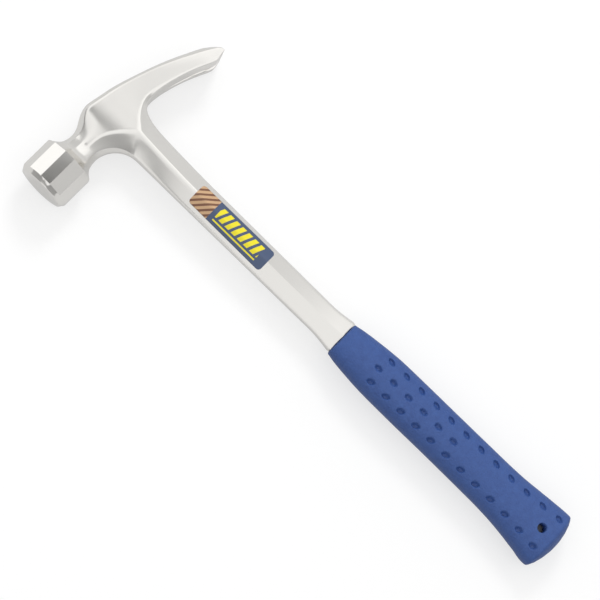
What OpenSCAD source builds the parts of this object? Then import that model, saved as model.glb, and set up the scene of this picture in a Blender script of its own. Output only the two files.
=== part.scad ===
// Framing hammer forged in one piece from striking face to tang, with a moulded vinyl grip and a
// printed label. It lies on its side: +X points to the claw, +Y runs up the handle to the head and
// +Z is up, out of the cheek.
// The origin is the centre of the hang hole, on the mid-plane of the hammer.

/* [Head] */
// Distance from the hang hole to the axis of the bell
head_height = 373; // [300:1:430]
// Thickness of the forging across the cheeks
cheek_thickness = 26; // [20:0.5:32]
// Height of the top of the cheek above the axis of the bell
poll_height = 16.4; // [13:0.1:20]
// Distance from the handle's centre line to the top corner of the cheek
poll_reach = 11; // [8:0.5:14]

/* [Bell and neck] */
// Bell across its corners
bell_d = 36.4; // [30:0.2:44]
// Distance from the handle's centre line to the middle of the striking face
face_reach = 67.4; // [58:0.2:80]
// Length of the bell's straight facets
bell_length = 21.8; // [14:0.2:28]
// Striking face, across its flat
face_d = 31.6; // [26:0.2:34]
// Length of the chamfer behind the striking face
face_chamfer = 3.3; // [1.5:0.1:5]
// Crown of the striking face
face_crown = 1; // [0.4:0.1:2]
// Radius of the shoulder behind the bell
shoulder_r = 5.5; // [3:0.1:6.5]
// Neck across its corners, at its waist
neck_d = 21.3; // [17:0.1:25]
// Distance from the handle's centre line to the waist of the neck
neck_reach = 28.5; // [26:0.5:32]
// Distance that the neck sits below the axis of the bell
neck_drop = 0.9; // [0:0.1:2]

/* [Claw] */
// Distance from the handle's centre line to the tips
claw_reach = 77.5; // [66:0.5:90]
// Distance of the tips below the axis of the bell
claw_drop = 17.2; // [12:0.2:24]
// Width over the two prongs, at the tips
claw_width = 28.4; // [22:0.2:36]
// Thickness of the prongs halfway along
claw_thickness = 9.4; // [7:0.1:12]
// Thickness left at the ground tips
tip_thickness = 2.4; // [1.5:0.1:4]
// Length of the nail slot
slot_length = 37; // [24:0.5:46]
// Width of the nail slot between the tips
slot_mouth = 10.5; // [8:0.1:14]
// Width of the nail slot at its inner end
slot_throat = 2.4; // [1.6:0.1:4]
// Radius of the arch under the neck
arch_r = 18.6; // [14:0.2:24]

/* [Shank] */
// Width of the shank under the head
shank_width = 21.6; // [17:0.1:26]
// Width of the shank above the grip
shank_low_width = 20.6; // [16:0.1:25]
// Thickness at the ridge, under the head
shank_thickness = 17.8; // [14:0.1:22]
// Thickness at the ridge, above the grip
shank_low_thickness = 12.8; // [10:0.1:17]
// Thickness of the narrow sides
shank_edge = 5.6; // [4:0.1:8]
// Width of the flare that meets the grip
flare_width = 24.4; // [21:0.1:30]
// Thickness of the flare that meets the grip
flare_thickness = 15; // [13:0.1:18]
// Distance from the axis of the bell down to where the straight taper starts
taper_drop = 62; // [52:0.5:70]
// Length of the flare
flare_length = 17; // [10:0.5:26]

/* [Tang] */
// Width of the tang at the flare
tang_width = 17.5; // [15:0.1:20]
// Width of the tang where its round end starts
tang_end_width = 16; // [13:0.1:19]
// Thickness of the tang
tang_thickness = 7; // [5:0.1:10]
// Eye in the end of the tang
tang_eye_d = 9.6; // [8:0.1:12]

/* [Grip] */
// Length of the grip above the hang hole
grip_height = 172.5; // [140:0.5:200]
// Distance from the hang hole to the end of the butt
butt_reach = 15.6; // [14:0.1:22]
// Width of the grip along its middle
grip_width = 33; // [28:0.2:40]
// Thickness of the grip along its middle
grip_thickness = 24.6; // [21:0.2:30]
// Rise of the rounded butt
butt_rise = 6.2; // [4:0.1:9]
// Hang hole
hang_hole_d = 6.35; // [4:0.05:7.5]
// Spacing of the dimples along the grip
dimple_pitch = 13.1; // [11:0.1:14]
// Depth of a dimple
dimple_depth = 1.1; // [0.5:0.1:1.6]
// Rows of dimples down each side
dimple_rows = 12; // [6:1:12]
// Rows of dimples down the middle
middle_rows = 6; // [0:1:12]

/* [Label] */
// Share of the shank's straight taper that lies above the label
label_start_share = 0.074; // [0.03:0.002:0.2]
// Share of the shank's straight taper that the label covers
label_length_share = 0.514; // [0.3:0.002:0.6]
// Width of the label, measured flat
label_width = 16.6; // [12:0.2:18]
// Thickness of the label
label_thickness = 0.3; // [0.2:0.05:0.5]
// Corner radius of the label
label_corner = 2.4; // [1:0.1:4]
// Adhesive under the label
adhesive = 0.1; // [0.05:0.01:0.2]

/* [Hidden] */
$fn = 64;
// Overrun of cuts past the faces that they open
overrun = 4;
// Room between the bell's corners and the start of the turned shoulder
corner_clear = 0.2;
// Columns between two guide points of the forging
forging_steps = 4;
// Rows along the shank's straight taper, and along the label
shank_steps = 16;
// Columns of the arcs in outlines
arc_steps = 8;
// Points round the grip
grip_sides = 48;
// Rings of the grip above its first dimples
top_steps = 10;
// Squareness of the grip's section: 2 is an ellipse
grip_power = 2.3;

bell_r = bell_d / 2;
face_r = face_d / 2;
neck_r = neck_d / 2;
cheek_z = cheek_thickness / 2;
claw_z = claw_width / 2;
shank_x = shank_width / 2;
edge_z = shank_edge / 2;
bell_front = face_reach - face_crown - face_chamfer;
bell_back = bell_front - bell_length;
flare_top = grip_height + flare_length;
straight_top = head_height - taper_drop;
straight_run = straight_top - flare_top;
label_top = straight_top - straight_run * label_start_share;
label_length = straight_run * label_length_share;

// Directions of the twelve corners of the bell: three in each quarter turn
corner_turns = [-12, 12, 45];
bell_angles = [for (quarter = [0 : 3], a = corner_turns) 90 * quarter + a];

// The forging is skinned over six guide rows on its front half, from the edge of the top flat down to
// the edge of the bottom flat. A guide point is [along, up, out], each as a share of a size: the comment
// above a table names the sizes.

// Neck rows: along from the waist to inside the shoulder, up and out in neck radii
neck_row_shares = [[0.978, 0.208], [0.707, 0.707], [0.208, 0.978], [-0.208, 0.978], [-0.707, 0.707],
    [-0.978, 0.208]];
neck_station_shares = [1, 0.5, 0];
// Share of the shoulder that the neck runs into
neck_root_share = 0.745;
neck_swell_shares = [1.17, 1.05, 1];

// Cheek rows: along in poll reaches, up in poll heights, out in half cheek thicknesses
cheek_top_shares = [[-2.08, 0.67, 0.2], [-1.62, 0.865, 0.38], [-1.02, 1, 0.64], [-0.46, 0.955, 0.72],
    [0.136, 0.88, 0.73]];
cheek_edge_shares = [[-2, 0.47, 0.68], [-1.55, 0.69, 0.86], [-1.1, 0.88, 1], [-0.46, 0.85, 1],
    [0.136, 0.77, 1]];
cheek_flat_shares = [[-2, 0.08, 0.86], [-1.58, 0.08, 0.98], [-1.1, 0.05, 1], [-0.46, 0, 1],
    [0.136, -0.15, 1]];
arch_line_shares = [[-2.04, -0.21, 0.86], [-1.58, -0.28, 0.99], [-1.05, -0.47, 1], [-0.45, -0.78, 1],
    [0.136, -1.18, 1]];

// Arch rows: turn round the arch in degrees, inset in arch radii, out in narrow sides of the shank
arch_edge_shares = [[72, 0.135, 2.5], [54, 0.11, 2.2], [36, 0.08, 1.85], [20, 0.05, 1.5],
    [4, 0.025, 1.2]];
arch_side_shares = [[68, 0, 0.85], [48, 0, 0.85], [30, 0, 0.82], [14, 0, 0.8], [0, 0, 0.78]];

// Claw rows on top: along in claw reaches, up in claw drops, out in half widths of the claw
claw_top_shares = [[0.1, 0.773, 0.69], [0.21, 0.651, 0.7], [0.345, 0.459, 0.72], [0.49, 0.244, 0.74],
    [0.658, -0.052, 0.75], [0.826, -0.401, 0.74], [1, -0.94, 0.72]];
claw_edge_shares = [[0.1, 0.669, 0.916], [0.21, 0.547, 0.916], [0.34, 0.366, 0.925], [0.484, 0.145, 0.94],
    [0.652, -0.169, 0.96], [0.82, -0.541, 0.98], [1, -1.03, 0.98]];
claw_flat_shares = [[0.1, -0.07, 0.916], [0.19, 0.058, 0.916], [0.323, 0.052, 0.925], [0.477, -0.128, 0.94],
    [0.652, -0.407, 0.97], [0.82, -0.762, 1], [0.996, -1.064, 1]];

// Crook rows: along in half widths of the shank, up in poll heights, out in half cheeks or in narrow sides
crook_line_shares = [[0.574, -0.927, 1], [1.11, -0.61, 1]];
crook_edge_shares = [[1.075, -1.65, 1.37], [1.185, -1.22, 1.83], [1.385, -0.79, 2.79]];
crook_side_shares = [[1.11, -1.83, 0.86], [1.205, -1.29, 0.96], [1.342, -0.866, 1.01]];

// Claw rows below: along in claw reaches, down from the top edge in claw thicknesses, out in half widths
claw_line_shares = [[0.27, 1.34, 0.925], [0.426, 1.117, 0.94], [0.645, 1.032, 0.97], [0.813, 0.926, 1],
    [0.99, 0.447, 1]];
under_edge_shares = [[0.263, 1.628, 0.8], [0.42, 1.266, 0.9], [0.64, 1.17, 0.94], [0.806, 1.053, 0.97],
    [0.986, 0.51, 0.97]];
under_side_shares = [[0.258, 1.7, 0.22], [0.413, 1.351, 0.24], [0.632, 1.266, 0.26], [0.8, 1.128, 0.28],
    [0.984, 0.553, 0.3]];

// Grip stations: height in grip heights, or in depths of the butt's corner below the hole, then face side,
// claw side and thickness in halves of the grip's width and thickness
grip_profile_shares = [[1, 0.81, 0.71, 0.7], [0.96, 0.88, 0.78, 0.83], [0.92, 0.93, 0.84, 0.9],
    [0.85, 0.985, 0.92, 0.96], [0.78, 1.01, 0.975, 0.99], [0.64, 1.02, 0.995, 1], [0.49, 1.005, 1, 1],
    [0.24, 1.02, 1.02, 1], [0.16, 1.055, 1.05, 1.01], [0.09, 1.13, 1.115, 1.03], [0.01, 1.24, 1.19, 1.06]];
butt_profile_shares = [[0.5, 1.32, 1.22, 1.08], [1, 1.33, 1.225, 1.09]];
// Rings of the rounded butt: size of the ring, and how far down the rounding it lies
butt_ring_shares = [[0.985, 0.12], [0.94, 0.25], [0.8, 0.5], [0.55, 0.77], [0.28, 0.95]];
// Rings along one spacing of the dimples, and the depth of a dimple there
dimple_ring_shares = [[-0.5, 0], [-0.2, 0], [-0.1, 0.7], [0, 1], [0.1, 0.7], [0.2, 0]];
first_dimple_share = 0.808;
// Rows of the flare, from the straight taper to the grip
flare_row_shares = [0.25, 0.5, 0.75, 1];

function mix(a, b, share) = a + (b - a) * share;

// Point on the smooth curve through b and c, with a before them and d after them
function glide(a, b, c, d, u) =
    (b * 2 + (c - a) * u + (a * 2 - b * 5 + c * 4 - d) * pow(u, 2) + (b * 3 - a - c * 3 + d) * pow(u, 3)) / 2;

// Smooth row of points through guide points
function smooth_row(keys, steps) =
    let (last = len(keys) - 1)
    [for (k = [0 : last - 1], i = [0 : steps - (k == last - 1 ? 0 : 1)])
        glide(keys[max(k - 1, 0)], keys[k], keys[k + 1], keys[min(k + 2, last)], i / steps)];

function mirrored(row) = [for (p = row) [p[0], p[1], -p[2]]];
function joined(rows) = [for (row = rows) for (p = row) p];

// Faces of a sheet of points that lie in rows of equal length
function sheet_faces(rows, columns, start, flip) =
    [for (r = [0 : rows - 2], c = [0 : columns - 2])
        let (a = start + r * columns + c, b = a + columns)
        flip ? [a, b, b + 1, a + 1] : [a, a + 1, b + 1, b]];

neck_end = bell_back - shoulder_r * (1 - neck_root_share);

// Guide points of each row, measured from the axis of the bell
function neck_keys(r) = [for (k = [0 : len(neck_station_shares) - 1])
    [-mix(neck_reach, neck_end, neck_station_shares[k]),
     neck_row_shares[r][0] * neck_r * neck_swell_shares[k] - neck_drop,
     neck_row_shares[r][1] * neck_r * neck_swell_shares[k]]];
function cheek_keys(table) = [for (s = table) [s[0] * poll_reach, s[1] * poll_height, s[2] * cheek_z]];
function claw_keys(table) = [for (s = table) [s[0] * claw_reach, s[1] * claw_drop, s[2] * claw_z]];
function crook_keys(table, out) = [for (s = table) [s[0] * shank_x, s[1] * poll_height, s[2] * out]];
// The first two points of the top edge lie over the crook, the rest over the claw
function under_keys(table) = [for (i = [0 : len(table) - 1])
    let (s = table[i])
    [s[0] * claw_reach, claw_edge_shares[i + 2][1] * claw_drop - s[1] * claw_thickness, s[2] * claw_z]];
function arch_keys(table) = [for (s = table)
    let (r = arch_r * (1 + s[1]))
    [r * cos(s[0]) - shank_x - arch_r, r * sin(s[0]) - neck_r - neck_drop - arch_r, s[2] * edge_z]];

cheek_tables = [cheek_top_shares, cheek_edge_shares, cheek_flat_shares, arch_line_shares];
claw_rows = [claw_keys(claw_top_shares), claw_keys(claw_edge_shares), claw_keys(claw_flat_shares),
    concat(crook_keys(crook_line_shares, cheek_z), under_keys(claw_line_shares))];
head_rows = [for (r = [0 : len(cheek_tables) - 1])
    smooth_row(concat(neck_keys(r), cheek_keys(cheek_tables[r]), claw_rows[r]), forging_steps)];
left_edge_keys = concat(neck_keys(4), arch_keys(arch_edge_shares));
left_side_keys = concat(neck_keys(5), arch_keys(arch_side_shares));
point_column = (len(left_edge_keys) - 1) * forging_steps;

// Corner of the shank's narrow side, cut off by shares of half of that side
corner_cut_share = 0.12;
corner_rise_share = 1.12;
corner_fall_share = 0.78;
// Half section of the shank at a height: [half width, ridge, half of the narrow side]
function shank_half(y) =
    let (share = (straight_top - y) / straight_run)
    [mix(shank_width, shank_low_width, share) / 2, mix(shank_thickness, shank_low_thickness, share) / 2,
     edge_z];
// Outer edge of the shank's front facets: [from the centre line, out]
function facet_edge(h) = [h[0] - h[2] * corner_cut_share, h[2] * corner_rise_share];
flare_half = [flare_width / 2, flare_thickness / 2, edge_z * flare_thickness / shank_low_thickness];
// Rows of the shank below the head: height, then the half section there
shank_stations = concat(
    [for (i = [0 : shank_steps]) let (y = straight_top - straight_run * i / shank_steps) [y, shank_half(y)]],
    [for (u = flare_row_shares)
        [mix(flare_top, grip_height, u), mix(shank_half(flare_top), flare_half, u * u)]]);
// Guide points of a row of the shank, from the head: side is -1, 0 or 1, inner is true for the facet's edge
function shank_row(side, inner) = [for (s = shank_stations)
    let (h = s[1])
    side == 0 ? [0, s[0] - head_height, h[1]]
        : inner ? [side * facet_edge(h)[0], s[0] - head_height, facet_edge(h)[1]]
        : [side * h[0], s[0] - head_height, h[2] * corner_fall_share]];

function from(row, first) = [for (i = [first : len(row) - 1]) row[i]];
function upto(row, last) = [for (i = [0 : last]) row[i]];
function reversed(row) = [for (i = [len(row) - 1 : -1 : 0]) row[i]];
function tail(row) = from(row, 1);

// Rows of the left and right flanks, from the neck and from the tip of the claw down to the grip
function flank(head, row) =
    concat(head, tail(smooth_row([head[len(head) - 1], row[0]], forging_steps)), tail(row));
left_rows = [
    flank(upto(head_rows[3], point_column), shank_row(0, true)),
    flank(smooth_row(left_edge_keys, forging_steps), shank_row(-1, true)),
    flank(smooth_row(left_side_keys, forging_steps), shank_row(-1, false))];
right_edge_keys = reversed(concat(crook_keys(crook_edge_shares, edge_z), under_keys(under_edge_shares)));
right_side_keys = reversed(concat(crook_keys(crook_side_shares, edge_z), under_keys(under_side_shares)));
right_rows = [
    flank(reversed(from(head_rows[3], point_column)), shank_row(0, true)),
    flank(smooth_row(right_edge_keys, forging_steps), shank_row(1, true)),
    flank(smooth_row(right_side_keys, forging_steps), shank_row(1, false))];

// Neck, cheeks, claw and shank as one skin, measured from the axis of the bell
module forged_skin() {
    top = concat([for (r = [3 : -1 : 0]) mirrored(head_rows[r])], head_rows);
    left = concat(left_rows, [for (r = [2 : -1 : 0]) mirrored(left_rows[r])]);
    right = concat(right_rows, [for (r = [2 : -1 : 0]) mirrored(right_rows[r])]);
    tc = len(top[0]);
    lc = len(left[0]);
    rc = len(right[0]);
    tops = len(top);
    sides = len(left);
    l0 = tops * tc;
    r0 = l0 + sides * lc;
    bell_cap = concat([for (r = [0 : tops - 1]) r * tc], [for (r = [1 : sides - 2]) l0 + r * lc]);
    tip_cap = concat([for (r = [tops : -1 : 1]) r * tc - 1], [for (r = [sides - 2 : -1 : 1]) r0 + r * rc]);
    shank_cap = concat([for (r = [sides : -1 : 1]) l0 + r * lc - 1],
        [for (r = [2 : sides - 1]) r0 + r * rc - 1]);
    polyhedron(
        points = concat(joined(top), joined(left), joined(right)),
        faces = concat(sheet_faces(tops, tc, 0, false), sheet_faces(sides, lc, l0, false),
            sheet_faces(sides, rc, r0, true), [bell_cap, tip_cap, shank_cap]));
}

// Bell: a twelve-sided bar, turned to a chamfered, crowned face in front and a round shoulder behind
module bell() {
    chamfer_run = face_chamfer * (bell_r + overrun - face_r) / (bell_r - face_r);
    rim = face_reach - face_crown;
    crown_r = (face_r * face_r + face_crown * face_crown) / (2 * face_crown);
    crown_turn = asin(face_r / crown_r);
    crown = [for (i = [0 : arc_steps])
        let (a = crown_turn * i / arc_steps) [crown_r * sin(a), crown_r * cos(a) - crown_r + face_reach]];
    shoulder = [for (i = [0 : arc_steps])
        let (a = -90 * i / arc_steps)
        [bell_r + corner_clear - shoulder_r + shoulder_r * cos(a), bell_back + shoulder_r * sin(a)]];
    rotate([0, -90, 0])
        intersection() {
            linear_extrude(face_reach)
                polygon([for (a = bell_angles) [bell_r * cos(a), bell_r * sin(a)]]);
            rotate_extrude()
                polygon(concat(crown, [[bell_r + overrun, rim - chamfer_run], [bell_r + overrun, bell_back]],
                    shoulder, [[0, bell_back - shoulder_r]]));
        }
}

// Nail slot: a V between the prongs with a round inner end, cut square to the slope of the claw
slope_drop_share = 0.8;
slope_reach_share = 0.525;
claw_slope = atan2(-claw_drop * slope_drop_share, claw_reach * slope_reach_share);
// Angle of the bevel under the tips, from the slope of the claw
bevel_turn = 30;
module nail_slot() {
    depth = 2 * claw_reach;
    far = slot_length + overrun;
    wide = slot_throat + (slot_mouth - slot_throat) * far / slot_length;
    translate([claw_reach, -claw_drop, 0])
        rotate([90, 0, claw_slope])
            linear_extrude(depth, center = true) {
                translate([-slot_length, 0])
                    polygon([[0, -slot_throat / 2], [far, -wide / 2], [far, wide / 2], [0, slot_throat / 2]]);
                translate([-slot_length, 0])
                    circle(d = slot_throat);
            }
}

// Bevel ground under the tips, which leaves them the tip thickness
module tip_bevel() {
    long = claw_reach / 2;
    translate([claw_reach, -claw_drop, 0])
        rotate([0, 0, claw_slope])
            translate([0, -tip_thickness, 0])
                rotate([0, 0, bevel_turn])
                    translate([-long, -long, -claw_width])
                        cube([2 * long, long, 2 * claw_width]);
}

// Tang inside the grip, with an eye round the hang hole
module tang() {
    root = grip_height + overrun;
    linear_extrude(tang_thickness, center = true)
        difference() {
            union() {
                polygon([[-tang_width / 2, root], [tang_width / 2, root], [tang_end_width / 2, 0],
                    [-tang_end_width / 2, 0]]);
                circle(d = tang_end_width);
            }
            circle(d = tang_eye_d);
        }
}

// Forging: bell, neck, cheeks, claw and shank, with the tang
module forging() {
    color("gainsboro")
        union() {
            translate([0, head_height, 0]) {
                bell();
                difference() {
                    forged_skin();
                    nail_slot();
                    tip_bevel();
                }
            }
            tang();
        }
}

// Grip sizes at a height: [height, face side, claw side, half thickness]
function grip_half(s, y) = [y, s[1] * grip_width / 2, s[2] * grip_width / 2, s[3] * grip_thickness / 2];
grip_keys = concat(
    [for (s = grip_profile_shares) grip_half(s, s[0] * grip_height)],
    [for (s = butt_profile_shares) grip_half(s, s[0] * (butt_rise - butt_reach))]);
function grip_at(y, k = 0) =
    k == len(grip_keys) - 2 || grip_keys[k + 1][0] <= y
        ? let (a = grip_keys[max(k - 1, 0)], b = grip_keys[k], c = grip_keys[k + 1],
               d = grip_keys[min(k + 2, len(grip_keys) - 1)])
          glide(a, b, c, d, (b[0] - y) / (b[0] - c[0]))
        : grip_at(y, k + 1);

first_dimple = first_dimple_share * grip_height;
butt_corner = grip_keys[len(grip_keys) - 1];
// Rings down the grip: height, then the depth of the side dimples and of the middle dimples there
top_rings = [for (i = [0 : top_steps - 1])
    [mix(grip_height, first_dimple + dimple_pitch / 2, i / top_steps), 0, 0]];
dimple_rings = [for (row = [0 : dimple_rows - 1], s = dimple_ring_shares)
    [first_dimple - (row + s[0]) * dimple_pitch, s[1], row < middle_rows ? s[1] : 0]];
grip_rings = concat(top_rings, dimple_rings);

// Depth of the dimples at one point of a ring: three columns on each broad side
middle_column = grip_sides / 4;
side_column = grip_sides / 12;
function dimple_at(ring, i) =
    let (from_middle = abs(i % (grip_sides / 2) - middle_column))
    dimple_depth * (from_middle == 0 ? ring[2] : from_middle == side_column ? ring[1] : 0);

function grip_point(size, y, scale, i, dent) =
    let (a = 360 * i / grip_sides, c = cos(a), s = sin(a), p = 2 / grip_power,
         x = (c < 0 ? size[1] : size[2]) * sign(c) * pow(abs(c), p), z = size[3] * sign(s) * pow(abs(s), p),
         reach = norm([x, z]))
    [x * (scale - dent / reach), y, z * (scale - dent / reach)];

// Outer skin of the grip, from its top down to the rounded butt
module grip_skin() {
    sides = [for (i = [0 : grip_sides - 1]) i];
    corner_y = butt_corner[0];
    rows = concat(
        [for (ring = grip_rings) if (ring[0] > corner_y)
            [for (i = sides) grip_point(grip_at(ring[0]), ring[0], 1, i, dimple_at(ring, i))]],
        [[for (i = sides) grip_point(butt_corner, corner_y, 1, i, 0)]],
        [for (s = butt_ring_shares)
            [for (i = sides) grip_point(butt_corner, corner_y - butt_rise * s[1], s[0], i, 0)]]);
    count = len(rows);
    n = grip_sides;
    polyhedron(
        points = concat(joined(rows), [[0, -butt_reach, 0]]),
        faces = concat(
            [sides],
            [for (r = [0 : count - 2], i = sides)
                [r * n + i, (r + 1) * n + i, (r + 1) * n + (i + 1) % n, r * n + (i + 1) % n]],
            [for (i = sides) [(count - 1) * n + i, count * n, (count - 1) * n + (i + 1) % n]]));
}

// Grip: vinyl moulded over the tang, so it fills the eye and lines the hang hole
module grip() {
    color("steelblue")
        difference() {
            grip_skin();
            tang();
            cylinder(h = 2 * grip_thickness, d = hang_hole_d, center = true);
        }
}

// Label: a thin sheet bent over the ridge on the front of the shank
module label() {
    corner = [for (i = [0 : arc_steps]) 90 * i / arc_steps];
    ends = [for (a = corner)
        [label_top - label_corner * (1 - sin(a)), label_width / 2 - label_corner * (1 - cos(a))]];
    run = label_length - 2 * label_corner;
    middle = [for (i = [1 : shank_steps - 1])
        [label_top - label_corner - run * i / shank_steps, label_width / 2]];
    rows = concat(reversed(ends), middle, [for (e = ends) [2 * label_top - label_length - e[0], e[1]]]);
    last = (len(rows) - 1) * 6;
    color("slategray")
        polyhedron(
            points = [for (s = rows) for (p = label_section(s[0], s[1])) p],
            faces = concat(
                [[5, 2, 1, 0], [5, 4, 3, 2]],
                [for (r = [0 : len(rows) - 2], i = [0 : 5])
                    let (a = r * 6 + i, b = r * 6 + (i + 1) % 6)
                    each [[a, b, b + 6], [a, b + 6, a + 6]]],
                [[last, last + 1, last + 2, last + 5], [last + 5, last + 2, last + 3, last + 4]]));
}

// Section of the label across the shank, at a height, for half of its flat width
function label_section(y, half) =
    let (h = shank_half(y), edge = facet_edge(h), run = edge[0], fall = h[1] - edge[1],
         slope = norm([run, fall]), x = half * run / slope, side = h[1] - half * fall / slope,
         low = adhesive, high = adhesive + label_thickness)
    [[-x, y, side + low], [-x, y, side + high], [0, y, h[1] + high], [x, y, side + high], [x, y, side + low],
     [0, y, h[1] + low]];

forging();
grip();
label();
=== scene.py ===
"""Framing hammer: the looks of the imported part. Lengths are in millimetres until a mesh is finished."""
import math

import bmesh
import bpy
from mathutils import Matrix, Vector


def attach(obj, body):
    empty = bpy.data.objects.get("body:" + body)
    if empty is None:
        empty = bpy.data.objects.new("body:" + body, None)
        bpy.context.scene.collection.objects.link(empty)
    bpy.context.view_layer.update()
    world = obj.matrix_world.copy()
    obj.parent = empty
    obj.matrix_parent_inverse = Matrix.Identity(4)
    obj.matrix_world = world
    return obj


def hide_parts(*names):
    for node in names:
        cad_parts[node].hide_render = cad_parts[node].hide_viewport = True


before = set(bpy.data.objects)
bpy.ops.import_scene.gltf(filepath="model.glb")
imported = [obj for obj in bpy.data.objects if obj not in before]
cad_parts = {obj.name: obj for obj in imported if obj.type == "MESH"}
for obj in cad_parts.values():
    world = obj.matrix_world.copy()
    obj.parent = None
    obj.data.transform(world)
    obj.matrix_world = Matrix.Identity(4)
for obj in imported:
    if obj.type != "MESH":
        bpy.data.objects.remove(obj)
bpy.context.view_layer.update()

# Forging: striking face, bell, neck, cheeks, claw and shank are one bar of carbon steel, drop forged,
# then ground on its facets and polished. The tang that runs on inside the grip doesn't show.
head_height = 373.0
weld = 0.001
rounding_levels = 3


def curve_point(keys, k, u):
    """Point at a share of the way from guide point k to the next, on the smooth curve through all of them."""
    a, b, c, d = (Vector(keys[min(max(k + i, 0), len(keys) - 1)]) for i in (-1, 0, 1, 2))
    return (2 * b + u * (c - a) + u * u * (2 * a - 5 * b + 4 * c - d) + u * u * u * (3 * b - a - 3 * c + d)) / 2


def smooth_curve(keys, steps):
    """Points of the smooth curve through guide points."""
    points = [curve_point(keys, k, i / steps) for k in range(len(keys) - 1) for i in range(steps)]
    return points + [Vector(keys[-1])]


def lay_sheet(bm, rows):
    """A grid whose rows are moved onto guide curves of equal count."""
    columns = len(rows[0])
    grid = bmesh.ops.create_grid(bm, x_segments=columns - 1, y_segments=len(rows) - 1, size=1)["verts"]
    for vert, point in zip(grid, [point for row in rows for point in row]):
        vert.co = point
    return [grid[i:i + columns] for i in range(0, len(grid), columns)]


def crease_row(bm, verts, sharpness):
    """Marks a chain of edges to stay an edge when the sheet is subdivided; at 1 it is also shaded crisp."""
    layer = bm.edges.layers.float.get("crease_edge") or bm.edges.layers.float.new("crease_edge")
    for a, b in zip(verts, verts[1:]):
        edge = bm.edges.get((a, b))
        if edge:
            edge[layer] = sharpness
            edge.smooth = sharpness < 1


def finish_piece(name, bm, lift=(0, 0, 0)):
    """Scales a mesh in millimetres to the row frame and makes it a smooth-shaded object at the origin."""
    bmesh.ops.recalc_face_normals(bm, faces=bm.faces)
    bmesh.ops.translate(bm, verts=bm.verts, vec=lift)
    bmesh.ops.scale(bm, verts=bm.verts, vec=(0.001, 0.001, 0.001))
    for face in bm.faces:
        face.smooth = True
    mesh = bpy.data.meshes.new(name)
    bm.to_mesh(mesh)
    bm.free()
    piece = bpy.data.objects.new(name, mesh)
    bpy.context.scene.collection.objects.link(piece)
    return piece


# Rows of the bell and neck: [up, out] on a twelve-sided bar, from the middle of the top to the middle below
bar_angles = (12, 12, 45, 78, 102, 135, 168, 168)
bar_rows = [(math.cos(math.radians(a)), math.sin(math.radians(a))) for a in bar_angles]
bar_rows = [(up, 0 if i in (0, 7) else out) for i, (up, out) in enumerate(bar_rows)]
# Stations along the bell and neck: distance, corner radius, drop below the bell's axis
bell_stations = [(-67.4, 0, 0), (-67.2, 8, 0), (-66.4, 16.3, 0), (-63.2, 18.2, 0), (-52, 18.2, 0),
                 (-41.3, 18.2, 0), (-39.8, 16.1, 0.1), (-37.6, 13.3, 0.5), (-34.4, 11.4, 0.8)]


def bar_row(row):
    up, out = bar_rows[row]
    return [Vector((x, up * r - drop, out * r)) for x, r, drop in bell_stations]


# Guide points from the waist of the neck over the cheek to the tip of the claw
waist_place, waist_radius, waist_drop = -28.5, 10.65, 0.9
waist = [(waist_place, up * waist_radius - waist_drop, out * waist_radius) for up, out in bar_rows]
top_flat = [(-22.9, 11, 2.6), (-17.8, 14.2, 4.9), (-11.2, 16.5, 8.3), (-5.1, 15.7, 9.4), (1.5, 14.4, 9.5),
            (7.8, 13.3, 9.8), (16.3, 11.2, 9.9), (26.7, 7.9, 10.2), (38, 4.2, 10.5), (51, -0.9, 10.6),
            (64, -6.9, 10.5), (70, -10, 10.4), (77.6, -16.2, 10.2)]
top_edge = [(-22, 7.7, 8.8), (-17, 11.3, 11.2), (-12.1, 14.4, 12.7), (-5.1, 13.9, 13), (1.5, 12.6, 13),
            (7.8, 11.5, 13), (16.3, 9.4, 13), (26.4, 6.3, 13.1), (37.5, 2.5, 13.35), (50.5, -2.9, 13.6),
            (63.5, -9.3, 13.9), (69.7, -12.6, 13.9), (77.6, -17.4, 13.9)]
cheek_flat = [(-22, 1.3, 11.3), (-17.4, 1.3, 12), (-12.1, 0.8, 12.7), (-5.1, 0, 13), (1.5, -2.5, 13),
              (7.8, -1.2, 13), (14.7, 1, 13), (25, 0.9, 13.1), (37, -2.2, 13.35), (50.5, -7, 13.8),
              (63.3, -13, 14.2), (69.4, -16, 14.2), (77.6, -18.6, 14.2)]
cheek_line = [(-22.4, -3.4, 11.25), (-17.4, -4.6, 12), (-11.6, -7.7, 12.7), (-5, -12.8, 13), (1.5, -19.4, 13),
              (6.2, -15.2, 13), (12, -10, 13), (20.9, -6.3, 13.1), (33, -8, 13.35), (50, -12.6, 13.8),
              (62.4, -17.6, 14.2), (69, -20.6, 14.2), (77.4, -20, 14.2)]
# Guide points round the arch under the neck, and under the claw from the crook to the tip
arch_edge = [(-22.9, -10.1, 7), (-17.3, -13.5, 6.2), (-13.2, -18.3, 5.2), (-11, -23.5, 4.2),
             (-10.4, -28.8, 3.4)]
arch_side = [(-22.4, -12.9, 2.4), (-17, -16.3, 2.4), (-13.3, -20.9, 2.3), (-11.4, -25.7, 2.2),
             (-10.8, -30.2, 2.2)]
under_edge = [(11.6, -27.1, 3.8), (12.8, -20, 5.1), (15, -13, 7.8), (20.4, -9, 11.4), (32.6, -9.4, 12.8),
              (49.6, -13.8, 13.4), (62, -18.8, 13.8), (68.8, -21.6, 13.8), (77.3, -20.4, 13.8)]
under_side = [(12, -30, 2.4), (13, -21.2, 2.7), (14.5, -14.2, 2.8), (20, -9.7, 3.1), (32, -10.2, 3.4),
              (49, -14.7, 4.4), (61.6, -19.8, 5.6), (68.6, -22.2, 6.4), (77.2, -20.6, 7)]
point_key = 5
slot_key = 9
slot_throat, slot_mouth = 1.2, 5.2
steps = 2


def flat_middle(row):
    """The row on the mid-plane beside a flat's edge."""
    return [Vector((x, y, 0)) for x, y, z in row]


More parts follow.
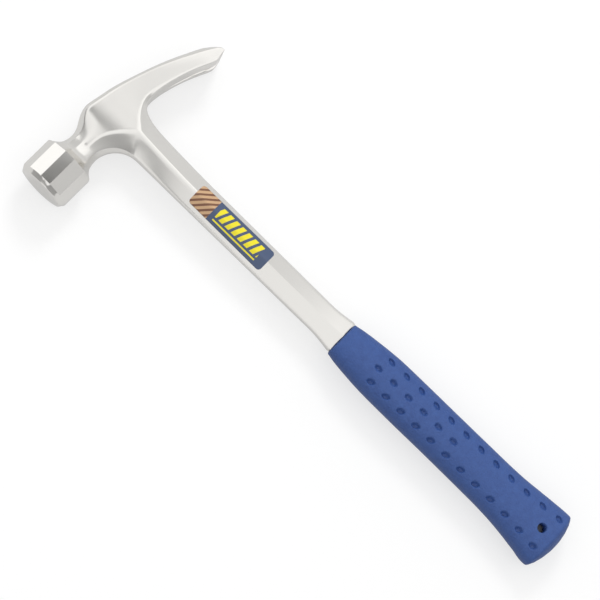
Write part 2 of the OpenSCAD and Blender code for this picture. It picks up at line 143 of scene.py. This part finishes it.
# Stations down the shank: height, half width, ridge, half of the narrow side
shank_stations = [(-62, 10.8, 8.9, 2.8), (-90, 10.7, 8.3, 2.8), (-120, 10.55, 7.65, 2.8),
                  (-150, 10.45, 7, 2.8), (-178, 10.35, 6.5, 2.8), (-183.5, 10.3, 6.4, 2.8),
                  (-188, 10.6, 6.5, 2.85), (-193, 11.2, 6.75, 3), (-198, 11.9, 7.2, 3.2),
                  (-200.4, 12.2, 7.5, 3.3), (-205, 8, 4, 2)]


# The edges between the shank's facets and its narrow sides are rounded: how far each row stands off the sharp edge
edge_in, edge_front_share, edge_back_share = 0.34, 1.12, 0.78


def shank_row(side, edge):
    if side == 0:
        return [Vector((0, y, ridge)) for y, half, ridge, narrow in shank_stations]
    if edge:
        return [Vector((side * (half - edge_in), y, narrow * edge_front_share))
                for y, half, ridge, narrow in shank_stations]
    return [Vector((side * half, y, narrow * edge_back_share)) for y, half, ridge, narrow in shank_stations]


forging_mesh = bmesh.new()
head_rows = [bar_row(i) + smooth_curve([waist[i]] + keys, steps)
             for i, keys in ((1, top_flat), (2, top_edge), (3, cheek_flat), (4, cheek_line))]
bars = len(bell_stations)
top_middle = flat_middle(head_rows[0])
point = bars + point_key * steps
slot_start = bars + slot_key * steps
slot_columns = len(top_middle) - slot_start - 1
slot_spread = (slot_mouth - slot_throat) / slot_columns
slot_halves = [0] + [slot_throat + slot_spread * i for i in range(1, slot_columns + 1)]
for i, half in enumerate(slot_halves):
    top_middle[slot_start + i].z = half
head = lay_sheet(forging_mesh, [top_middle] + head_rows)

left_edge = bar_row(5) + smooth_curve([waist[5]] + arch_edge, steps)
left_side = bar_row(6) + smooth_curve([waist[6]] + arch_side, steps)
left_rows = [head_rows[3][:point + 1] + shank_row(0, True), left_edge + shank_row(-1, True),
             left_side + shank_row(-1, False)]
left = lay_sheet(forging_mesh, left_rows + [flat_middle(left_rows[2])])

right_edge = smooth_curve(under_edge, steps)[::-1]
right_side = smooth_curve(under_side, steps)[::-1]
right_rows = [head_rows[3][point:][::-1] + shank_row(0, True), right_edge + shank_row(1, True),
              right_side + shank_row(1, False)]
right_middle = flat_middle(right_rows[2])
for i, half in enumerate(slot_halves):
    right_middle[slot_columns - i].z = half
right = lay_sheet(forging_mesh, right_rows + [right_middle])

lay_sheet(forging_mesh, [top_middle[slot_start:], right_middle[slot_columns::-1]])
tip_face = lay_sheet(forging_mesh, [[row[-1] for row in [top_middle] + head_rows[:3]],
                                    [row[0] for row in (right_middle, right_rows[2], right_rows[1], right_rows[0])]])

# Edges that stay: crisp round the bell and down the ridge, softer where the forging's facets meet
for row, sharpness in ((1, 0.52), (2, 0.52), (4, 0.55)):
    crease_row(forging_mesh, head[row][bars:], sharpness)
for sheet in (head, left):
    for row in sheet[1:-1] if sheet is head else sheet[:-1]:
        crease_row(forging_mesh, row[3:6], 1)
        crease_row(forging_mesh, row[5:bars + 1], 0.75)
    for station, sharpness in ((2, 0.6), (3, 1), (5, 1)):
        crease_row(forging_mesh, [row[station] for row in sheet], sharpness)
crease_row(forging_mesh, head[4][3:6], 1)
for sheet in (left, right):
    for row, sharpness in ((0, 0.53), (1, 0.52), (2, 0.52)):
        crease_row(forging_mesh, sheet[row][bars if sheet is left else 0:], sharpness)
    crease_row(forging_mesh, sheet[0][1 - len(shank_stations):], 1)
crease_row(forging_mesh, head[0][slot_start:], 0.6)
crease_row(forging_mesh, right[3][:slot_columns + 1], 0.6)
crease_row(forging_mesh, [row[2 * steps - 2] for row in right], 0.6)
for row in tip_face:
    crease_row(forging_mesh, row, 0.7)

bmesh.ops.remove_doubles(forging_mesh, verts=forging_mesh.verts, dist=weld)
bmesh.ops.mirror(forging_mesh, geom=forging_mesh.verts[:] + forging_mesh.edges[:] + forging_mesh.faces[:],
                 matrix=Matrix.Identity(4), merge_dist=weld, axis="Z")
bmesh.ops.remove_doubles(forging_mesh, verts=forging_mesh.verts, dist=weld)
bmesh.ops.holes_fill(forging_mesh, edges=[edge for edge in forging_mesh.edges if edge.is_boundary], sides=0)
forging = finish_piece("forged_steel_head_and_shank", forging_mesh, (0, head_height, 0))
rounding = forging.modifiers.new("forged_rounding", "SUBSURF")
rounding.levels = rounding.render_levels = rounding_levels


def srgb(code):
    """Linear colour of an sRGB hex value."""
    parts = [int(code[i:i + 2], 16) / 255 for i in (1, 3, 5)]
    return [c / 12.92 if c <= 0.04045 else ((c + 0.055) / 1.055) ** 2.4 for c in parts] + [1]


def add_node(tree, kind, inputs, **settings):
    """Adds a node, sets its settings and sets or links its inputs."""
    made = tree.nodes.new(kind)
    for name, value in settings.items():
        setattr(made, name, value)
    for name, value in inputs.items():
        if isinstance(value, bpy.types.NodeSocket):
            tree.links.new(value, made.inputs[name])
        else:
            made.inputs[name].default_value = value
    return made


def new_material(name):
    """A material with an empty node tree."""
    made = bpy.data.materials.new(name)
    made.use_nodes = True
    made.node_tree.nodes.clear()
    return made, made.node_tree


# Polished carbon steel: pale grey with a warm cast. The bell is buffed to a near mirror; the rest is satin from the
# polishing belt, so that reflections are soft there.
buff_end, satin_start = -0.042, -0.034
buffed_roughness, satin_roughness, roughness_spread = 0.1, 0.2, 0.06
polished_steel, tree = new_material("polished_forged_carbon_steel")
place = add_node(tree, "ShaderNodeTexCoord", {})
patches = add_node(tree, "ShaderNodeTexNoise", {"Vector": place.outputs["Object"], "Scale": 60, "Detail": 4,
                                               "Roughness": 0.6})
axes = add_node(tree, "ShaderNodeSeparateXYZ", {"Vector": place.outputs["Object"]})
buffed = add_node(tree, "ShaderNodeMapRange", {"Value": axes.outputs["X"], "From Min": buff_end,
                                              "From Max": satin_start, "To Min": buffed_roughness,
                                              "To Max": satin_roughness})
gloss = add_node(tree, "ShaderNodeMath", {0: patches.outputs["Fac"], 1: roughness_spread, 2: buffed.outputs["Result"]},
                 operation="MULTIPLY_ADD")
steel = add_node(tree, "ShaderNodeBsdfPrincipled", {"Base Color": srgb("#F0EEEA"), "Metallic": 1,
                                                   "Roughness": gloss.outputs["Value"]})
add_node(tree, "ShaderNodeOutputMaterial", {"Surface": steel.outputs["BSDF"]})
forging.data.materials.append(polished_steel)
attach(forging, "root")
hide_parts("forging")

# Grip: blue vinyl moulded over the tang in one shot, with leaf-shaped dimples in its broad sides and a
# hang hole through the butt. Its surface is finely pebbled by the mould.
grip_top = 172.5
# Stations down the grip: height, half widths to the face side and the claw side, half thickness
grip_stations = [(172.5, 13.4, 11.7, 8.6), (165.6, 14.5, 12.9, 10.2), (158.7, 15.3, 13.9, 11.1),
                 (146.6, 16.25, 15.2, 11.8), (134.6, 16.7, 16.1, 12.2), (110.4, 16.8, 16.4, 12.3),
                 (84.5, 16.6, 16.5, 12.3), (41.4, 16.8, 16.8, 12.3), (27.6, 17.4, 17.3, 12.4),
                 (15.5, 18.6, 18.4, 12.7), (1.7, 20.5, 19.6, 13), (-4.7, 21.8, 20.1, 13.3),
                 (-9.4, 21.9, 20.2, 13.4)]
butt_rings = [(-10.2, 0.985), (-10.9, 0.94), (-12.5, 0.8), (-14.2, 0.55), (-15.3, 0.28), (-15.6, 0)]
grip_sides = 180
ring_gap = 0.5
squareness = 2.3
# The rim round the steel: how far it turns in, and its rings as the stations above
rim_depth, rim_round = 3, 0.6
rim_inside, rim_edge = (0, 12, 10, 7), (0, 12.6, 11, 7.8)
# Dimples: middle and side columns, each [share of the half width, height of the first, rows, slant in degrees]
dimple_pitch = 13.1
dimple_long, dimple_wide, dimple_deep = 6.3, 3.7, 2.2
dimple_steepness, leaf_point_share = 1.5, 0.5
dimple_columns = ((0, 143, 6, 0), (-0.565, 140.6, 12, -20), (0.55, 139.6, 12, 18))


def grip_size(y):
    """Half widths and half thickness of the grip at a height."""
    k = max(i for i in range(len(grip_stations) - 1) if grip_stations[i][0] >= y)
    above, below = grip_stations[k][0], grip_stations[k + 1][0]
    return curve_point(grip_stations, k, (above - y) / (above - below))


def dimple_dent(x, y, half):
    """Depth of the dimples at a place on a broad side, where the grip has this half width."""
    for across, first, rows, slant in dimple_columns:
        row = round((first - y) / dimple_pitch)
        if not 0 <= row < rows:
            continue
        dx, dy = x - across * half, y - first + row * dimple_pitch
        turn = math.radians(slant)
        u = (dy * math.cos(turn) + dx * math.sin(turn)) * 2 / dimple_long
        v = (dx * math.cos(turn) - dy * math.sin(turn)) * 2 / dimple_wide
        inside = 1 - u * u - v * v / max(1 - leaf_point_share * u * u, 0.3)
        if inside > 0:
            return dimple_deep * min(1, dimple_steepness * inside)
    return 0


def grip_ring(size, y, share):
    """A ring of the grip at a height, with the dimples pressed into its broad sides."""
    ring = []
    for i in range(grip_sides + 1):
        a = 2 * math.pi * i / grip_sides
        c, s = math.cos(a), math.sin(a)
        x = (size[1] if c < 0 else size[2]) * math.copysign(abs(c) ** (2 / squareness), c) * share
        z = size[3] * math.copysign(abs(s) ** (2 / squareness), s) * share
        if share == 1:
            z -= math.copysign(min(dimple_dent(x, y, size[1]), abs(z)), z)
        ring.append(Vector((x, y, z)))
    return ring


grip_mesh = bmesh.new()
rings = [grip_ring(rim_inside, grip_top - rim_depth, 1), grip_ring(rim_edge, grip_top, 1)]
first_ring = grip_top - rim_round
count = int((first_ring - grip_stations[-1][0]) / ring_gap)
rings += [grip_ring(grip_size(y), y, 1) for y in (first_ring - ring_gap * i for i in range(count + 1))]
rings += [grip_ring(grip_stations[-1], y, share) for y, share in butt_rings]
lay_sheet(grip_mesh, rings)
bmesh.ops.remove_doubles(grip_mesh, verts=grip_mesh.verts, dist=weld)
bmesh.ops.holes_fill(grip_mesh, edges=[edge for edge in grip_mesh.edges if edge.is_boundary], sides=0)

# Hang hole: the faces inside it are taken out, its rim is pulled round, and its wall bridges the two rims
hole_radius, rim_slack, broad_side = 3.175, 0.2, 5
hole_faces = [face for face in grip_mesh.faces if face.calc_center_median().xy.length < hole_radius - rim_slack
              and abs(face.calc_center_median().z) > broad_side]
bmesh.ops.delete(grip_mesh, geom=hole_faces, context="FACES")
rims = [edge for edge in grip_mesh.edges if edge.is_boundary]
for vert in {vert for edge in rims for vert in edge.verts}:
    vert.co.xy = vert.co.xy.normalized() * hole_radius
bmesh.ops.bridge_loops(grip_mesh, edges=rims)
grip = finish_piece("moulded_vinyl_grip", grip_mesh)

# Moulded vinyl: solid blue plastic with a matt, finely pebbled skin. The pebbles are drawn at 1.1 mm, about
# twice as coarse as real ones, so that they show in the render.
blue_vinyl, tree = new_material("moulded_blue_vinyl")
place = add_node(tree, "ShaderNodeTexCoord", {})
pebbles = add_node(tree, "ShaderNodeTexNoise", {"Vector": place.outputs["Object"], "Scale": 900, "Detail": 2,
                                               "Roughness": 0.5})
skin = add_node(tree, "ShaderNodeBump", {"Height": pebbles.outputs["Fac"], "Strength": 0.6, "Distance": 0.0008})
cast = add_node(tree, "ShaderNodeTexNoise", {"Vector": place.outputs["Object"], "Scale": 250, "Detail": 3,
                                            "Roughness": 0.6})
blues = add_node(tree, "ShaderNodeMix", {"Factor": cast.outputs["Fac"], "A": srgb("#2C4988"), "B": srgb("#3C5EA0")},
                 data_type="RGBA")
vinyl = add_node(tree, "ShaderNodeBsdfPrincipled", {"Base Color": blues.outputs["Result"], "Roughness": 0.5,
                                                   "IOR": 1.53, "Normal": skin.outputs["Normal"]})
add_node(tree, "ShaderNodeOutputMaterial", {"Surface": vinyl.outputs["BSDF"]})
grip.data.materials.append(blue_vinyl)
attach(grip, "root")
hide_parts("grip")

# Label: a thin plastic film with rounded corners, printed and coated, then stuck over the ridge on the front of
# the shank. It follows the two facets and bends softly over the ridge between them.
label_top, label_foot, label_half, label_corner = 302.0, 239.6, 8.3, 2.4
label_thick, label_lift = 0.3, 0.08
label_lengths, label_columns = 24, 12
# The shank under it: where its taper starts, the taper's length, the ridge there and its fall, and the facet's edge
taper_top, taper_length, ridge_top, ridge_fall = 311, 121.5, 8.9, 2.5
facet_edge_height, facet_edge_reach = 3.136, 10.46
bend_round, bend_ease = 0.7, 0.25
label_mesh = bmesh.new()
label_rows = []
ends = [(label_corner * (1 - math.sin(a)), label_half - label_corner * (1 - math.cos(a)))
        for a in (math.radians(turn) for turn in range(90, -1, -10))]
heights = [(label_top - drop, half) for drop, half in ends]
run = label_top - label_foot - 2 * label_corner
heights += [(label_top - label_corner - run * i / label_lengths, label_half) for i in range(1, label_lengths)]
heights += [(label_foot + drop, half) for drop, half in ends[::-1]]
for y, half in heights:
    ridge = ridge_top - ridge_fall * (taper_top - y) / taper_length
    fold = (ridge - facet_edge_height) / facet_edge_reach
    row = []
    for i in range(-label_columns, label_columns + 1):
        x = half * i / label_columns / math.hypot(1, fold)
        row.append(Vector((x, y, ridge + label_lift - fold * (math.hypot(x, bend_round) - bend_ease))))
    label_rows.append(row)
lay_sheet(label_mesh, label_rows)
bmesh.ops.recalc_face_normals(label_mesh, faces=label_mesh.faces)
if label_mesh.faces[0].normal.z < 0:
    bmesh.ops.reverse_faces(label_mesh, faces=label_mesh.faces)
bmesh.ops.solidify(label_mesh, geom=label_mesh.faces[:], thickness=-label_thick)
label = finish_piece("printed_label", label_mesh)

# Printed film: slate-blue ink, a tan panel with brown stripes and yellow bars, under a clear, slightly glossy coat
printed_film, tree = new_material("printed_glossy_film")
place = add_node(tree, "ShaderNodeTexCoord", {})
axes = add_node(tree, "ShaderNodeSeparateXYZ", {"Vector": place.outputs["Object"]})
across, along = axes.outputs["X"], axes.outputs["Y"]


def do_math(operation, *values):
    """The result of a sum on the label's coordinates."""
    sums = add_node(printed_film.node_tree, "ShaderNodeMath", dict(enumerate(values)), operation=operation)
    return sums.outputs["Value"]


def between(value, low, high):
    """1 where a coordinate lies between two places, in millimetres."""
    return do_math("COMPARE", value, (low + high) / 2000, (high - low) / 2000)


def slanted_bars(slant, pitch, share):
    """1 on the bars of a slanted stripe pattern, in millimetres."""
    turned = do_math("MULTIPLY_ADD", across, slant, along)
    return do_math("LESS_THAN", do_math("FRACT", do_math("MULTIPLY", turned, 1000 / pitch)), share)


def inked(below, code, mask):
    """Ink of a colour printed over what lies below it."""
    return add_node(printed_film.node_tree, "ShaderNodeMix", {"Factor": mask, "A": below, "B": srgb(code)},
                    data_type="RGBA").outputs["Result"]


panel_length, print_start, foot_margin = 15.5, 18.9, 7
bars_left, bars_right, rule_left, rule_right = -3, 5.4, -5.4, -4.5
head_panel = between(along, label_top - panel_length, label_top + label_thick)
print_run = between(along, label_foot + foot_margin, label_top - print_start)
bar_field = do_math("MULTIPLY", between(across, bars_left, bars_right), print_run)
rule = do_math("MULTIPLY", between(across, rule_left, rule_right), print_run)
print_ink = inked(srgb("#4B5A78"), "#CFA982", head_panel)
print_ink = inked(print_ink, "#7D5640", do_math("MULTIPLY", head_panel, slanted_bars(1, 4.6, 0.45)))
print_ink = inked(print_ink, "#F4E42A", do_math("MULTIPLY", bar_field, slanted_bars(0.4, 5.4, 0.62)))
print_ink = inked(print_ink, "#F4E42A", rule)
film = add_node(tree, "ShaderNodeBsdfPrincipled", {"Base Color": print_ink, "Roughness": 0.3, "IOR": 1.5})
add_node(tree, "ShaderNodeOutputMaterial", {"Surface": film.outputs["BSDF"]})
label.data.materials.append(printed_film)
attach(label, "root")
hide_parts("label")

# Studio: a white floor that the hammer lies on, soft lamps round it and a camera at the photograph's viewing angle.
# The paper is seen as white by the camera and a little darker in the steel, and it keeps the hammer's shadow.
floor_half, floor_tilt, floor_height = 4000, -0.66, -13.6
camera_lift, mirror_lift = 0.62, 0.32
floor_mesh = bmesh.new()
bmesh.ops.create_grid(floor_mesh, x_segments=1, y_segments=1, size=floor_half)
bmesh.ops.rotate(floor_mesh, verts=floor_mesh.verts, cent=(0, 0, 0),
                 matrix=Matrix.Rotation(math.radians(floor_tilt), 3, "X"))
floor = finish_piece("studio_floor", floor_mesh, (0, 0, floor_height))
white_paper, tree = new_material("white_paper")
paths = add_node(tree, "ShaderNodeLightPath", {})
mirrored = add_node(tree, "ShaderNodeMath", {0: paths.outputs["Is Glossy Ray"],
                                             1: paths.outputs["Is Transmission Ray"]}, operation="MAXIMUM")
mirrored_share = add_node(tree, "ShaderNodeMath", {0: mirrored.outputs["Value"], 1: mirror_lift}, operation="MULTIPLY")
lift = add_node(tree, "ShaderNodeMath", {0: paths.outputs["Is Camera Ray"], 1: camera_lift,
                                         2: mirrored_share.outputs["Value"]}, operation="MULTIPLY_ADD")
paper = add_node(tree, "ShaderNodeBsdfDiffuse", {"Color": srgb("#A8A8A8")})
glow = add_node(tree, "ShaderNodeEmission", {"Color": srgb("#FFFFFF"), "Strength": lift.outputs["Value"]})
lifted = add_node(tree, "ShaderNodeAddShader", {0: paper.outputs["BSDF"], 1: glow.outputs["Emission"]})
add_node(tree, "ShaderNodeOutputMaterial", {"Surface": lifted.outputs["Shader"]})
floor.data.materials.append(white_paper)

scene = bpy.context.scene
scene.view_settings.view_transform = "Standard"
# The room is dimmer on the face side, so that the grip has a shaded side
face_side_light, claw_side_light = 0.3, 0.75
world = bpy.data.worlds.new("studio_light")
scene.world = world
world.use_nodes = True
world.node_tree.nodes.clear()
around_place = add_node(world.node_tree, "ShaderNodeTexCoord", {})
around_axes = add_node(world.node_tree, "ShaderNodeSeparateXYZ", {"Vector": around_place.outputs["Generated"]})
wash = add_node(world.node_tree, "ShaderNodeMapRange", {"Value": around_axes.outputs["X"], "From Min": -1,
                                                       "From Max": 1, "To Min": face_side_light, "To Max": claw_side_light})
around = add_node(world.node_tree, "ShaderNodeBackground", {"Color": srgb("#FFFFFF"),
                                                           "Strength": wash.outputs["Result"]})
add_node(world.node_tree, "ShaderNodeOutputWorld", {"Surface": around.outputs["Background"]})


def add_lamp(name, place, target, width, depth, glow):
    """A soft rectangular lamp that faces a point, in metres; a glow of 1 shows as white in a mirror."""
    lamp = bpy.data.lights.new(name, "AREA")
    lamp.shape = "RECTANGLE"
    lamp.size, lamp.size_y = width, depth
    lamp.energy = math.pi * width * depth * glow
    made = bpy.data.objects.new(name, lamp)
    made.location = place
    made.rotation_mode = "QUATERNION"
    made.rotation_quaternion = (Vector(target) - Vector(place)).to_track_quat("-Z", "Y")
    made.visible_camera = False
    scene.collection.objects.link(made)
    return made


add_lamp("overhead_softbox", (-0.15, 0.18, 1.6), (-0.15, 0.18, 0), 3.9, 3.24, 0.5)
add_lamp("head_side_lamp", (0.1, 2.2, 0.75), (0, 0.37, 0), 0.8, 0.8, 0.6)
add_lamp("face_side_lamp", (-1.9, 0.3, 0.5), (-0.06, 0.37, 0), 1, 1, 0.6)
# The key lamp shades the grip; the steel shows only the soft lamps
key_lamp = add_lamp("key_lamp", (1.2, 0.9, 1.3), (0, 0.2, 0), 0.5, 0.5, 12)
key_lamp.visible_glossy = False

# Grey card that hangs beside the camera and shows in the front facet of the bell
card_half_width, card_half_depth, card_place = 150, 160, (95, 580, 1450)
card_mesh = bmesh.new()
bmesh.ops.create_grid(card_mesh, x_segments=1, y_segments=1, size=1)
bmesh.ops.scale(card_mesh, verts=card_mesh.verts, vec=(card_half_width, card_half_depth, 1))
card = finish_piece("dark_card", card_mesh, card_place)
card.visible_camera = False
grey_card, tree = new_material("grey_card")
board = add_node(tree, "ShaderNodeBsdfDiffuse", {"Color": srgb("#808080")})
add_node(tree, "ShaderNodeOutputMaterial", {"Surface": board.outputs["BSDF"]})
card.data.materials.append(grey_card)

aim = Vector((-0.00136, 0.20824, 0))
yaw, pitch, distance = math.radians(12), math.radians(-0.25), 1.5
toward = Vector((-math.sin(yaw) * math.cos(pitch), -math.sin(pitch), math.cos(yaw) * math.cos(pitch)))
picture_up = Vector((0.7229, 0.6909, 0))
right_hand = picture_up.cross(toward).normalized()
camera = bpy.data.objects.new("camera", bpy.data.cameras.new("camera"))
camera.data.lens = 142.6
camera.data.sensor_width = 36
scene.collection.objects.link(camera)
camera.matrix_world = Matrix.Translation(aim + toward * distance) @ Matrix(
    (right_hand, toward.cross(right_hand), toward)).transposed().to_4x4()
scene.camera = camera
